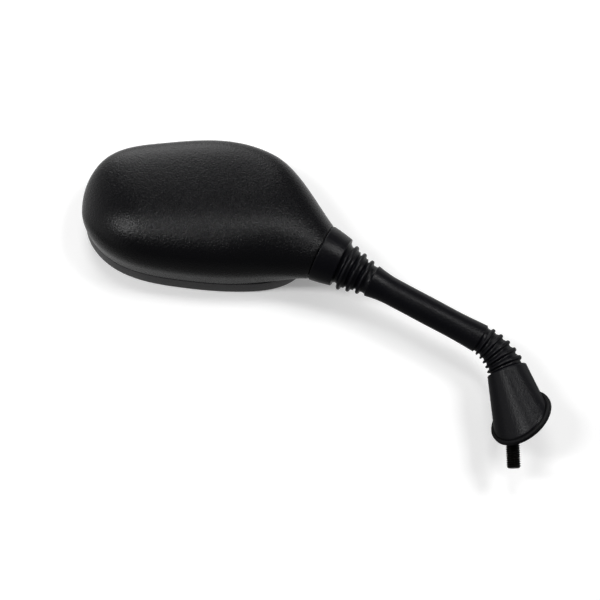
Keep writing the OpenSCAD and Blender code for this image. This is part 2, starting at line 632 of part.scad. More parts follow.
housing_shell();
front_rim();
mirror_glass();
glass_pad();
backing_plate();
ball_socket();
outer_cup();
inner_cup();
clamp_plate();
clamp_screws();
clamp_spring(SCREW_ANGLES[0]);  // clamp_spring_1
clamp_spring(SCREW_ANGLES[1]);  // clamp_spring_2
clamp_spring(SCREW_ANGLES[2]);  // clamp_spring_3
stem();
lock_nut();
nut_washer();
boot();
base_pad();
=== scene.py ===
"""Looks of the mirror: smooth housing, rim, boot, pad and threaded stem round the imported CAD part."""
import math

import bpy
import numpy as np
from mathutils import Matrix


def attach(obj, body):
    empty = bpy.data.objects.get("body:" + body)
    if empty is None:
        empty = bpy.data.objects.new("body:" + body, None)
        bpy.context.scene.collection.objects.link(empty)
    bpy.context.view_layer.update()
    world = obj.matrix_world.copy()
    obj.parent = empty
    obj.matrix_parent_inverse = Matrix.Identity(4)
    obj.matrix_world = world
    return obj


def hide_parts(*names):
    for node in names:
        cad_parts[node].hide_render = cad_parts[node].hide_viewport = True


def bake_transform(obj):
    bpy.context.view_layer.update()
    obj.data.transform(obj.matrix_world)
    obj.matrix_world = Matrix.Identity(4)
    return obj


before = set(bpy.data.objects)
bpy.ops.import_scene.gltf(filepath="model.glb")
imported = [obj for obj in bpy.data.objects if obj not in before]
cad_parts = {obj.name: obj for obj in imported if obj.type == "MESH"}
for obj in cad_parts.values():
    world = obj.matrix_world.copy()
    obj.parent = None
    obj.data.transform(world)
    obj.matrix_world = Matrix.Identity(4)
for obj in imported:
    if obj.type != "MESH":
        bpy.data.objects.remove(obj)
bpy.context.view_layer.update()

MM = 0.001
Y_AXIS = np.array([0, 1.0, 0])

# Sizes repeated from the part's source, in millimetres and degrees
# Head, from its outline's box and the ball's centre, and its depth along Y
HEAD_W = 138.4
HEAD_H = 85.0
PAST_BALL = 15.0
BELOW_BALL = 23.9
RIDGE_Y = 19.0
PART_Y = 17.5

# Rim
RIM_DEPTH = 11.5
RIM_FLARE = 1.6
RIM_WALL = 1.8
RIM_LIP = 4.4
LIP_T = 1.6
FRONT_Y = PART_Y + RIM_DEPTH

# Neck with its bore and the boot's spigot
NECK_SLOPE = 27.0
NECK_R = 17.15
NECK_REACH = 20.0
BORE_R = 13.4
SPIGOT_R = 14.6
SPIGOT_LEN = 5.0
SOCKET_Z = 3.0

# Stem with its ball, bend and stud
BALL_R = 7.0
ROD_R = 5.0
SWAGE_R = 4.0
SWAGE_START = 34.0
SWAGE_END = 28.0
BEND_START = 21.8
BEND_R = 34.0
BEND_ANGLE = 61.0
STRAIGHT = 123.5
STUD_R = 4.0
STUD_LEN = 23.4
THREAD_TOP = 20.0
RELIEF_Z = 0.5
RELIEF_H = 1.2
RELIEF_R = 3.3

# Collar of the boot
COLLAR_R = 17.15
COLLAR_END_R = 15.05
COLLAR_LEN = 13.0
COLLAR_GAP = 0.6
COLLAR_BLEND = 5.0
BOOT_GAP = 0.3

# Upper folds, sleeve and lower folds of the boot
UPPER_FOLD_R = 13.95
UPPER_LAST_R = 10.85
UPPER_PITCH = 5.7
UPPER_DEPTH = 2.3
UPPER_FOLDS = 3
FOLD_TO_COLLAR = 4.6
SLEEVE_R = 8.05
SLEEVE_LIP_R = 9.65
SLEEVE_SWELL = 0.5
LIP_TO_FOLD = 4.5
LOWER_FOLD_R = 9.0
LOWER_LAST_R = 10.75
LOWER_PITCH = 4.25
LOWER_DEPTH = 1.5
LOWER_FOLDS = 5
LOWER_LIP_S = 34.4
LOWER_S = 14.2

# Bell of the boot and the pad under it
BELL_S = 10.1
BELL_TOP_R = 11.7
BELL_BASE_R = 16.8
BELL_WALL = 2.2
PAD_R = 19.1
PAD_T = 2.4
PAD_HOLE_R = 14.8
BASE_TILT = 57.0
BASE_TURN = 44.0
BASE_SHIFT = 4.7
BASE_ACROSS = -5.2


def sin(a):
    return np.sin(np.radians(a))


def cos(a):
    return np.cos(np.radians(a))


def mix(a, b, t):
    return a + (b - a) * t


def ease(t):
    t = np.clip(t, 0, 1)
    return t * t * (3 - 2 * t)


def unit(v):
    return v / np.linalg.norm(v, axis=-1, keepdims=True)


BEND_LEN = math.radians(BEND_R * BEND_ANGLE)
PATH_END = BEND_LEN + STRAIGHT
BALL = np.array([-BEND_R * (1 - cos(BEND_ANGLE)) - STRAIGHT * sin(BEND_ANGLE), 0,
                 BEND_START + BEND_R * sin(BEND_ANGLE) + STRAIGHT * cos(BEND_ANGLE)])
NECK_DIR = np.array([cos(NECK_SLOPE), 0, -sin(NECK_SLOPE)])
NECK_UP = np.array([sin(NECK_SLOPE), 0, cos(NECK_SLOPE)])
NECK_CENTRE = BALL + NECK_REACH * NECK_DIR
STEM_DIR = np.array([sin(BEND_ANGLE), 0, -cos(BEND_ANGLE)])
STEM_UP = np.array([cos(BEND_ANGLE), 0, sin(BEND_ANGLE)])
HEAD_CENTRE = np.array([BALL[0] + PAST_BALL - HEAD_W / 2, BALL[2] - BELOW_BALL + HEAD_H / 2])

# Outline of the head: control points of a closed spline, in halves of the head's width and height
OUTLINE = np.array([[-1.1, -0.13], [-0.88, 0.88], [-0.34, 0.96], [0.22, 1.06], [0.73, 0.8],
                    [1.07, 0.08], [0.91, -0.94], [0.35, -1.03], [-0.18, -0.95], [-0.74, -0.79]])
OUTLINE_N = len(OUTLINE)

# Where the two edges leave the outline for the neck, and how they pull towards it
NOSE_T = 0.125
TOP_T = 3.9
BOTTOM_T = 6.85
TOP_SPAN = TOP_T - NOSE_T
BOTTOM_SPAN = OUTLINE_N + NOSE_T - BOTTOM_T
HORN = 0.72
TOP_PULL = 15
TOP_SLOPE = 54
BOTTOM_PULL = 12
BOTTOM_SLOPE = 4

# Sections of the head: level of their sides, swell from the nose and powers of their curves
LEVEL_Y = 6.0
NOSE_SHARE = 0.34
SWELL_SHARE = 0.8
QUICK_SWELL = 0.86
NECK_SHARE = 0.62
FRONT_POWER = 2.5
BACK_POWER = 9.0
BACK_OVER = 4.0
RIDGE_SKEW = 0.34

# The crown sinks the panels below and above the ridge inside the CAD's surface
CROWN_LOW = 0.2
CROWN_HIGH = 0.12
CROWN_R = 6.0
CROWN_POWER = 2.5


def spline(t, slope=False):
    """Points of the head's outline about its centre, or its slope there."""
    t = np.asarray(t, float)
    i = np.floor(t).astype(int)
    u = t - i
    if slope:
        w = [-(1 - u) ** 2 / 2, (3 * u * u - 4 * u) / 2, (-3 * u * u + 2 * u + 1) / 2, u * u / 2]
    else:
        w = [(1 - u) ** 3 / 6, (3 * u ** 3 - 6 * u * u + 4) / 6,
             (-3 * u ** 3 + 3 * u * u + 3 * u + 1) / 6, u ** 3 / 6]
    p = sum(w[k][..., None] * OUTLINE[(i - 1 + k) % OUTLINE_N] for k in range(4))
    return p * [HEAD_W / 2, HEAD_H / 2]


def outline_at(t):
    return HEAD_CENTRE + spline(t)


def outline_in(t, inset):
    d = unit(spline(t, slope=True))
    return outline_at(t) + inset * np.stack([d[..., 1], -d[..., 0]], -1)


def bezier(p, q):
    q = q[:, None]
    return (1 - q) ** 3 * p[0] + 3 * q * (1 - q) ** 2 * p[1] + 3 * q * q * (1 - q) * p[2] + q ** 3 * p[3]


def horn(t, span, end, pull, slope):
    """Control points of the curve from the outline to the neck's end."""
    start = outline_at(t)
    away = spline(t, slope=True) * span / HORN * (1 - HORN) / 3
    return [start, start + away, end - pull * np.array([cos(slope), -sin(slope)]), end]


TOP_HORN = horn(TOP_T, TOP_SPAN, (NECK_CENTRE + NECK_R * NECK_UP)[[0, 2]], TOP_PULL, TOP_SLOPE)
BOTTOM_HORN = horn(BOTTOM_T, -BOTTOM_SPAN, (NECK_CENTRE - NECK_R * NECK_UP)[[0, 2]],
                   BOTTOM_PULL, BOTTOM_SLOPE)


def edge(s, start, span, curve):
    q = np.clip((s - HORN) / (1 - HORN), 0, 1)
    return np.where((s <= HORN)[:, None], outline_at(start + span * s / HORN), bezier(curve, q))


def section_points(s, a):
    """Points at stations s and angles a, both arrays of the same shape (m, n)."""
    line = s[:, 0]
    top = edge(line, NOSE_T, TOP_SPAN, TOP_HORN)
    bottom = edge(line, OUTLINE_N + NOSE_T, -BOTTOM_SPAN, BOTTOM_HORN)
    half = (top - bottom) / 2
    w = ease((s - NECK_SHARE) / (1 - NECK_SHARE))
    rise = (QUICK_SWELL * sin(90 * np.minimum(1, s / NOSE_SHARE))
            + (1 - QUICK_SWELL) * sin(90 * np.minimum(1, s / SWELL_SHARE)))
    level = mix(LEVEL_Y, 0, w)
    front = mix(RIDGE_Y + LEVEL_Y, NECK_R, w) * rise
    back = mix(PART_Y - LEVEL_Y + BACK_OVER, NECK_R, w)
    is_front = sin(a) >= 0
    p = 2 / mix(np.where(is_front, FRONT_POWER, BACK_POWER), 2, w)
    c = np.sign(cos(a)) * np.abs(cos(a)) ** p
    depth = np.abs(sin(a)) ** p
    v = np.where(is_front, c - mix(RIDGE_SKEW, 0, w) * (1 - c * c) * np.abs(sin(a)), c)
    xz = ((top + bottom) / 2)[:, None] + half[:, None] * v[..., None]
    off = (v + mix(RIDGE_SKEW, 0, w)) * np.linalg.norm(half, axis=-1)[:, None]
    steep = np.where(off < 0, CROWN_LOW, CROWN_HIGH)
    crown = (1 - w) * rise * depth ** CROWN_POWER * steep * (np.sqrt(off ** 2 + CROWN_R ** 2) - CROWN_R)
    y = np.where(is_front, level - front * depth + crown, level + back * depth)
    return np.stack([xz[..., 0], np.minimum(y, PART_Y), xz[..., 1]], -1), w, level, back


# Mesh helpers
def grid_faces(m, n, along=False, flip=False):
    """Quads of m rings of n points, with the last ring joined to the first if along."""
    j = np.arange(m if along else m - 1)[:, None]
    i = np.arange(n)[None]
    j2, i2 = (j + 1) % m, (i + 1) % n
    f = np.stack([j * n + i, j * n + i2, j2 * n + i2, j2 * n + i], -1).reshape(-1, 4)
    return f[:, ::-1] if flip else f


def closed_faces(m, n):
    """Faces of m rings of n points, closed by fans to the two points that follow the rings."""
    first, last = m * n, m * n + 1
    end = (m - 1) * n
    faces = grid_faces(m, n).tolist()
    faces += [[first, (i + 1) % n, i] for i in range(n)]
    faces += [[last, end + i, end + (i + 1) % n] for i in range(n)]
    return faces


def make_mesh(name, points, faces, sharp=None, normals=None):
    mesh = bpy.data.meshes.new(name)
    mesh.from_pydata((np.asarray(points) * MM).tolist(), [], [list(map(int, f)) for f in faces])
    mesh.update()
    mesh.shade_smooth()
    if sharp:
        mesh.set_sharp_from_angle(angle=math.radians(sharp))
    if normals is not None:
        mesh.normals_split_custom_set_from_vertices(normals.tolist())
    ob = bpy.data.objects.new(name, mesh)
    bpy.context.scene.collection.objects.link(ob)
    return ob


def flip_outward(ob):
    """Turns the mesh the right way out if its volume is negative."""
    p = np.array([v.co for v in ob.data.vertices])
    volume = 0.0
    for f in ob.data.polygons:
        q = p[list(f.vertices)]
        for i in range(1, len(q) - 1):
            volume += np.dot(q[0], np.cross(q[i], q[i + 1]))
    if volume < 0:
        ob.data.flip_normals()


def vertex_normals(points, faces):
    """Area-weighted normals of a quad grid's points."""
    n = np.cross(points[faces[:, 2]] - points[faces[:, 0]], points[faces[:, 3]] - points[faces[:, 1]])
    total = np.zeros_like(points)
    for k in range(4):
        np.add.at(total, faces[:, k], n)
    return unit(total)


def ring(centre, u, v, r, n):
    a = 360 * np.arange(n) / n
    return centre + r * (cos(a)[:, None] * u + sin(a)[:, None] * v)


def arc(cx, cy, r, a0, a1, steps):
    a = np.linspace(a0, a1, steps + 1)
    return [[cx + r * cos(t), cy + r * sin(t)] for t in a]


# Housing: its groove to the rim, the neck's rounded edge, and how finely its rings are drawn
GROOVE = 0.45
NECK_ROUND = 0.45
NOSE_STATIONS = 64
BODY_STATIONS = 112
FRONT_STEPS = 150
BACK_STEPS = 36
DENSE = 700
HOUSING_CREASE = 32
MOST_CORNER = 60
LEAST_LEDGE = 0.98
LEDGE_SHRINK = 0.985
TINY = 1e-6


def even(points, count):
    """count + 1 points at equal distances along each row of points."""
    d = np.linalg.norm(np.diff(points, axis=1), axis=2)
    run = np.concatenate([np.zeros((len(d), 1)), np.cumsum(d, axis=1)], axis=1)
    out = np.empty((len(points), count + 1, 3))
    for k, (r, p) in enumerate(zip(run, points)):
        want = np.linspace(0, r[-1], count + 1)
        for x in range(3):
            out[k, :, x] = np.interp(want, r, p[:, x])
    return out


def housing_rings():
    """Rings of the housing from the nose to the neck, with a ledge at the groove beside the rim."""
    turn = np.linspace(2, 90, NOSE_STATIONS)
    body = np.linspace(NOSE_SHARE, 1, BODY_STATIONS)[1:]
    stations = np.concatenate([NOSE_SHARE * (1 - cos(turn)), body])
    m = len(stations)
    s = np.repeat(stations[:, None], DENSE + 1, 1)
    _, w, level, back = section_points(s[:, :1], np.zeros((m, 1)))
    power = mix(BACK_POWER, 2, w) / 2
    ratio = np.clip((PART_Y - GROOVE - level) / back, 0, 1)
    corner = np.minimum(np.degrees(np.arcsin(ratio ** power)), MOST_CORNER)
    t = np.linspace(0, 1, DENSE + 1)[None]
    front, *_ = section_points(s, -corner + (180 + 2 * corner) * t)
    flat, *_ = section_points(s, 180 + corner + (180 - 2 * corner) * t)
    front = even(front, FRONT_STEPS)
    flat = even(flat, BACK_STEPS)[:, 1:-1]
    ends = front[:, [0, -1]]
    middle = ends.mean(1, keepdims=True)
    gap = np.linalg.norm(middle - ends, axis=-1, keepdims=True)
    inward = unit(np.where(gap > TINY, middle - ends, 1.0))
    ledge = ((1 - w) * (ratio < LEAST_LEDGE))[..., None]
    lips = ends + ledge * (GROOVE * Y_AXIS + np.minimum(GROOVE, gap / 2) * inward)
    flat = np.where(ledge > 0.5, middle + (flat - middle) * LEDGE_SHRINK, flat)
    return np.concatenate([front, lips[:, 1:], flat, lips[:, :1]], axis=1)


def neck_rings(last):
    """Rings from the neck's last one round its edge, over the spigot's seat and into the bore."""
    spread = last - NECK_CENTRE
    spread -= (spread @ NECK_DIR)[:, None] * NECK_DIR
    spread = unit(spread)
    profile = [*arc(-NECK_ROUND, NECK_R - NECK_ROUND, NECK_ROUND, 90, 0, 4), [0, SPIGOT_R],
               [SPIGOT_LEN, SPIGOT_R], [SPIGOT_LEN, BORE_R], [SOCKET_Z - NECK_REACH, BORE_R]]
    return [NECK_CENTRE + spread * r + NECK_DIR * d for d, r in profile]


def make_housing():
    rings = housing_rings()
    rings = np.concatenate([rings[:-1], neck_rings(rings[-1])])
    points = np.concatenate([rings.reshape(-1, 3), [rings[0].mean(0), rings[-1].mean(0)]])
    ob = make_mesh("housing", points, closed_faces(*rings.shape[:2]), sharp=HOUSING_CREASE)
    flip_outward(ob)
    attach(ob, "head")
    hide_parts("housing_shell")
    return ob


# Rim: its rounded edges and its straight foot beside the groove
RIM_ROUND = 1.0
LIP_ROUND = 0.7
RIM_FOOT = 1.0
RIM_POINTS = 420
RIM_CREASE = 30


def make_rim():
    flare = math.degrees(math.atan2(RIM_FLARE, RIM_DEPTH - RIM_FOOT - RIM_ROUND))
    profile = [[GROOVE, PART_Y], [0, PART_Y + GROOVE], [0, PART_Y + RIM_FOOT],
               *arc(RIM_ROUND - RIM_FLARE, FRONT_Y - RIM_ROUND, RIM_ROUND, 180 - flare, 90, 7),
               *arc(RIM_LIP - LIP_ROUND, FRONT_Y - LIP_ROUND, LIP_ROUND, 90, 0, 6),
               [RIM_LIP, FRONT_Y - LIP_T], [RIM_WALL, FRONT_Y - LIP_T], [RIM_WALL, PART_Y]]
    t = OUTLINE_N * np.arange(RIM_POINTS) / RIM_POINTS
    rings = []
    for inset, y in profile:
        q = outline_in(t, inset)
        rings.append(np.stack([q[:, 0], np.full(RIM_POINTS, y), q[:, 1]], -1))
    faces = grid_faces(len(rings), RIM_POINTS, along=True)
    ob = make_mesh("rim", np.concatenate(rings), faces, sharp=RIM_CREASE)
    flip_outward(ob)
    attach(ob, "head")
    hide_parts("front_rim")
    return ob


# Boot: places along the stem's path, and the rounding of its edges, crests and valleys
COLLAR_S = PATH_END - NECK_REACH - COLLAR_GAP - COLLAR_LEN
UPPER_LIP_S = COLLAR_S - FOLD_TO_COLLAR - UPPER_PITCH * (UPPER_FOLDS - 1) - LIP_TO_FOLD
UPPER_S = UPPER_LIP_S + LIP_TO_FOLD
SPIGOT_S = COLLAR_S + COLLAR_LEN - 4.5
SLEEVE_END_R = SLEEVE_R + SLEEVE_SWELL
BOOT_SIDES = 96
BELL_LIP = 0.6
BELL_ROUND = 0.9
SLEEVE_FOOT_ROUND = 0.45
SKIN_ROUND = 0.5
COLLAR_ROUND = 0.6
LOWER_CREST = 0.95
LOWER_VALLEY = 0.5
UPPER_CREST = 1.15
UPPER_VALLEY = 1.0
CREST_ANGLES = (15, 30, 45, 60, 75, 90)
QUARTER = (0, 22, 45, 68, 90)

# The boot's skin is cut into pieces at these distances from the ball
FLEX_FROM_BALL = (68, 61, 37, 24)


def path_centre(s):
    if s < 0:
        return np.array([0, 0, BEND_START + s])
    if s < BEND_LEN:
        f = s / BEND_LEN * BEND_ANGLE
        return np.array([-BEND_R * (1 - cos(f)), 0, BEND_START + BEND_R * sin(f)])
    return BALL + (PATH_END - s) * STEM_DIR


def boot_centre(s):
    return mix(path_centre(s), BALL + (PATH_END - s) * NECK_DIR, ease((s - COLLAR_S) / COLLAR_BLEND + 1))


def boot_turn(s):
    turn = BEND_ANGLE * min(1, max(0, s / BEND_LEN))
    return mix(turn, 90 - NECK_SLOPE, ease((s - UPPER_LIP_S) / (COLLAR_S - UPPER_LIP_S)))


def boot_ring(s, r):
    t = boot_turn(s)
    return ring(boot_centre(s), np.array([cos(t), 0, sin(t)]), Y_AXIS, r, BOOT_SIDES)


def bellows(s0, pitch, folds, r0, r1, depth, crest, valley):
    """Rounded fins with round-bottomed valleys, from valley middle to valley middle."""
    half = [[0, 0], *[[crest * sin(a), crest * (1 - cos(a))] for a in CREST_ANGLES],
            *[[crest + valley * (1 - cos(a)), depth - valley * (1 - sin(a))] for a in QUARTER],
            [pitch / 2, depth]]
    out = []
    for i in range(folds):
        s, r = s0 + pitch * i, mix(r0, r1, i / (folds - 1))
        out += [[s - x, r - d] for x, d in half[:0:-1]] + [[s + x, r - d] for x, d in half[:-1]]
    out.append([s0 + pitch * (folds - 0.5), r1 - depth])
    return out


def smooth_profile(points, step):
    """Points of a smooth curve through points, about step apart."""
    p = np.array(points)
    d = np.concatenate([[0], np.cumsum(np.linalg.norm(np.diff(p, axis=0), axis=1))])
    tangent = np.gradient(p, d, axis=0)
    out = []
    for k in range(len(p) - 1):
        length = d[k + 1] - d[k]
        a, b = length * tangent[k], length * tangent[k + 1]
        for u in np.arange(0, 1, 1 / max(1, math.ceil(length / step))):
            h = [2 * u ** 3 - 3 * u * u + 1, u ** 3 - 2 * u * u + u, -2 * u ** 3 + 3 * u * u, u ** 3 - u * u]
            out.append(h[0] * p[k] + h[1] * a + h[2] * p[k + 1] + h[3] * b)
    return [list(q) for q in out] + [list(p[-1])]


def rounded_up(s, r, size):
    """A rounded edge that starts at s and rises to the radius r."""
    return [[s + size - size * cos(a), r - size + size * sin(a)] for a in QUARTER]


def rounded_down(s, r, size):
    """A rounded edge that falls from the radius r and ends at s."""
    return [[s - size + size * sin(a), r - size + size * cos(a)] for a in QUARTER]


def base_frame():
    """The base pad's way down, up its slope and across it, and its centre."""
    down = np.array([sin(BASE_TILT) * cos(BASE_TURN), sin(BASE_TILT) * sin(BASE_TURN), -cos(BASE_TILT)])
    up = np.array([cos(BASE_TILT) * cos(BASE_TURN), cos(BASE_TILT) * sin(BASE_TURN), sin(BASE_TILT)])
    side = np.array([-sin(BASE_TURN), cos(BASE_TURN), 0])
    return down, up, side, BASE_SHIFT * up + BASE_ACROSS * side


def bell_rings():
    """Rings of the bell from its inside top down to its base, round its edge and up its outside."""
    down, _, _, centre = base_frame()
    t = boot_turn(BELL_S)
    u = np.array([cos(t), 0, sin(t)])
    bell_u = unit(u - (u @ down) * down)
    bell_v = np.cross(bell_u, down)

    def base_ring(r, lift=0.0):
        return ring(centre - (PAD_T + lift) * down, bell_u, bell_v, r, BOOT_SIDES)

    top = boot_ring(BELL_S, BELL_TOP_R)
    bottom = base_ring(BELL_BASE_R, BELL_LIP)
    inner_top = boot_ring(BELL_S, BELL_TOP_R - BELL_WALL)
    inner_bottom = base_ring(BELL_BASE_R - BELL_WALL)
    rings = [boot_ring(LOWER_S, ROD_R + 0.1), boot_ring(BELL_S + 1.5, ROD_R + 0.6)]
    rings += [mix(inner_top, inner_bottom, f) for f in (0, 0.4, 0.8)] + [inner_bottom]
    rings += [base_ring(BELL_BASE_R - BELL_LIP), base_ring(BELL_BASE_R - BELL_LIP * 0.3, BELL_LIP * 0.3)]
    return rings + [mix(bottom, top, f) for f in np.linspace(0, 1, 26)[:-1]]


def boot_profile():
    """Distances along the path and radii of the boot from the bell's top to the collar's inside."""
    lower = bellows(LOWER_S, LOWER_PITCH, LOWER_FOLDS, LOWER_LAST_R, LOWER_FOLD_R, LOWER_DEPTH,
                    LOWER_CREST, LOWER_VALLEY)
    upper = bellows(UPPER_S, UPPER_PITCH, UPPER_FOLDS, UPPER_LAST_R, UPPER_FOLD_R, UPPER_DEPTH,
                    UPPER_CREST, UPPER_VALLEY)
    sleeve = smooth_profile([[LOWER_LIP_S + 0.8, SLEEVE_END_R],
                             [LOWER_LIP_S + 4, mix(SLEEVE_R, SLEEVE_END_R, 0.7)],
                             [LOWER_LIP_S + 11, mix(SLEEVE_R, SLEEVE_END_R, 0.1)],
                             [mix(LOWER_LIP_S, UPPER_LIP_S, 0.5), SLEEVE_R],
                             [UPPER_LIP_S - 19, SLEEVE_R],
                             [UPPER_LIP_S - 9, mix(SLEEVE_R, SLEEVE_END_R, 0.5)],
                             [UPPER_LIP_S - 4, mix(SLEEVE_END_R, SLEEVE_LIP_R, 0.4)],
                             [UPPER_LIP_S - SKIN_ROUND, SLEEVE_LIP_R]], 1.2)
    collar = smooth_profile([[COLLAR_S + 1.8, COLLAR_END_R + 0.2],
                             [COLLAR_S + COLLAR_LEN / 2, (COLLAR_R + COLLAR_END_R) / 2 + 0.15],
                             [COLLAR_S + COLLAR_LEN - 0.6, COLLAR_R]], 1.0)
    return [*rounded_down(BELL_S + BELL_ROUND, BELL_TOP_R, BELL_ROUND),
            [lower[0][0] - 0.5, lower[0][1] + 0.25], *lower,
            [LOWER_LIP_S - 0.35, LOWER_FOLD_R - LOWER_DEPTH + 0.1],
            *rounded_up(LOWER_LIP_S, SLEEVE_END_R, SLEEVE_FOOT_ROUND), *sleeve,
            *rounded_down(UPPER_LIP_S, SLEEVE_LIP_R, SKIN_ROUND)[1:],
            [UPPER_LIP_S + 0.3, UPPER_LAST_R - UPPER_DEPTH + 0.1], *upper,
            [COLLAR_S - 0.05, COLLAR_END_R - UPPER_DEPTH + 0.15],
            *rounded_up(COLLAR_S, COLLAR_END_R, COLLAR_ROUND), *collar,
            *rounded_down(COLLAR_S + COLLAR_LEN, COLLAR_R, SKIN_ROUND)[1:],
            [COLLAR_S + COLLAR_LEN, SPIGOT_R + BOOT_GAP], [SPIGOT_S, SPIGOT_R + BOOT_GAP]]


def make_boot():
    """One skin, cut into pieces at set distances from the ball, with normals taken before the cuts."""
    bell = bell_rings()
    profile = boot_profile()
    rings = bell + [boot_ring(s, r) for s, r in profile]
    n = BOOT_SIDES
    points = np.concatenate(rings)
    normals = vertex_normals(points, grid_faces(len(rings), n, flip=True))
    starts = [next(k for k, (s, _) in enumerate(profile) if s >= PATH_END - d) for d in FLEX_FROM_BALL]
    cuts = [0] + [len(bell) + k for k in starts] + [len(rings) - 1]
    made = []
    for name, first, last in zip(("boot_lower", "boot_twist", "boot_nod", "boot_swing", "boot_collar"),
                                 cuts[:-1], cuts[1:]):
        part = slice(first * n, (last + 1) * n)
        faces = grid_faces(last - first + 1, n, flip=True)
        made.append(make_mesh(name, points[part], faces, normals=normals[part]))
    middles = [boot_centre(profile[k][0]) * MM for k in starts]
    bodies = ("stem", "inner_cup", "outer_cup", "head")
    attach(made[0], "stem")
    for ob, a, b, start, end in zip(made[1:4], bodies[:-1], bodies[1:], middles[:-1], middles[1:]):
        tuple(start)
        tuple(end)
        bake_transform(ob)
    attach(made[4], "head")
    for ob in made:
        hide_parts("boot")
    return made


# Base pad: its rounded edges and the groove where the bell stands on it
PAD_LOW_ROUND = 0.5
PAD_HIGH_ROUND = 0.7
PAD_BEVEL = 0.3
PAD_GROOVE = 0.35
PAD_SIDES = 144
PAD_CREASE = 35


def make_pad():
    down, up, side, centre = base_frame()
    profile = [[PAD_HOLE_R, PAD_BEVEL], [PAD_HOLE_R + PAD_BEVEL, 0], [PAD_R - PAD_LOW_ROUND, 0],
               *arc(PAD_R - PAD_LOW_ROUND, PAD_LOW_ROUND, PAD_LOW_ROUND, -67, 0, 3),
               *arc(PAD_R - PAD_HIGH_ROUND, PAD_T - PAD_HIGH_ROUND, PAD_HIGH_ROUND, 0, 90, 5),
               [BELL_BASE_R + 0.6, PAD_T], [BELL_BASE_R + 0.25, PAD_T - PAD_GROOVE],
               [BELL_BASE_R - 0.2, PAD_T - PAD_GROOVE], [BELL_BASE_R - 0.5, PAD_T],
               [PAD_HOLE_R + PAD_BEVEL, PAD_T], [PAD_HOLE_R, PAD_T - PAD_BEVEL]]
    rings = [ring(centre - z * down, up, side, r, PAD_SIDES) for r, z in profile]
    faces = grid_faces(len(rings), PAD_SIDES, along=True)
    ob = make_mesh("base_pad_ring", np.concatenate(rings), faces, sharp=PAD_CREASE)
    flip_outward(ob)
    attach(ob, "stem")
    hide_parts("base_pad")
    return ob


# Stem with its thread
THREAD_PITCH = 1.25
THREAD_DEPTH = 0.68
THREAD_STEEP = 2.6
THREAD_CREST = 0.16
THREAD_STEPS = 10
TIP_CHAMFER = 0.9
TIP_DISH = 0.15
STEM_SIDES = 60
STEM_CREASE = 40
BEND_RINGS = 24
BALL_RINGS = 20
BALL_JOIN = 35
BALL_TIP = 176
X_AXIS = np.array([1.0, 0, 0])


def thread_rings():
    """Rings of the stud from its tip to the thread's end, a few to each turn of the thread."""
    a = 360 * np.arange(STEM_SIDES) / STEM_SIDES
    rings = []
    z = -STUD_LEN
    while z < THREAD_TOP:
        from_tip = z + STUD_LEN
        phase = (from_tip / THREAD_PITCH - a / 360) % 1
        cut = np.clip(np.minimum(phase, 1 - phase) * THREAD_STEEP - THREAD_CREST, 0, 1)
        r = np.minimum(STUD_R - THREAD_DEPTH * cut, STUD_R - TIP_CHAMFER + from_tip)
        if RELIEF_Z <= z <= RELIEF_Z + RELIEF_H:
            r = np.minimum(r, RELIEF_R)
        rings.append(np.stack([r * cos(a), r * sin(a), np.full(STEM_SIDES, z)], -1))
        z += THREAD_PITCH / THREAD_STEPS
    return rings + [ring(np.array([0, 0, THREAD_TOP]), X_AXIS, Y_AXIS, STUD_R, STEM_SIDES)]


def make_stem():
    n = STEM_SIDES
    rings = thread_rings()
    for s in (THREAD_TOP - BEND_START, 0):
        rings.append(ring(path_centre(s), X_AXIS, Y_AXIS, ROD_R, n))
    for s in np.linspace(0, BEND_LEN, BEND_RINGS)[1:]:
        t = BEND_ANGLE * s / BEND_LEN
        rings.append(ring(path_centre(s), np.array([cos(t), 0, sin(t)]), Y_AXIS, ROD_R, n))
    ball = [[BALL_R * cos(b), BALL_R * sin(b)] for b in np.linspace(BALL_JOIN, BALL_TIP, BALL_RINGS)]
    for d, r in [[SWAGE_START, ROD_R], [SWAGE_END, SWAGE_R], [BALL_R * cos(BALL_JOIN), SWAGE_R], *ball]:
        rings.append(ring(BALL + d * STEM_DIR, STEM_UP, Y_AXIS, r, n))
    ends = [[0, 0, TIP_DISH - STUD_LEN], BALL - BALL_R * STEM_DIR]
    points = np.concatenate(rings + [ends])
    ob = make_mesh("threaded_stem", points, closed_faces(len(rings), n), sharp=STEM_CREASE)
    flip_outward(ob)
    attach(ob, "stem")
    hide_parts("stem")
    return ob


# Materials
def add_noise(tree, place, scale, detail):
    noise = tree.nodes.new("ShaderNodeTexNoise")
    noise.inputs["Scale"].default_value = scale
    noise.inputs["Detail"].default_value = detail
    tree.links.new(place.outputs["Object"], noise.inputs["Vector"])
    return noise.outputs["Fac"]


def add_range(tree, value, from_min, from_max, to_min, to_max):
    """A node that maps value from one range to another."""
    node = tree.nodes.new("ShaderNodeMapRange")
    node.inputs["From Min"].default_value = from_min
    node.inputs["From Max"].default_value = from_max
    node.inputs["To Min"].default_value = to_min
    node.inputs["To Max"].default_value = to_max
    tree.links.new(value, node.inputs["Value"])
    return node


def add_math(tree, operation, *values, clamp=False):
    node = tree.nodes.new("ShaderNodeMath")
    node.operation = operation
    node.use_clamp = clamp
    for k, value in enumerate(values):
        tree.links.new(value, node.inputs[k])
    return node.outputs["Value"]


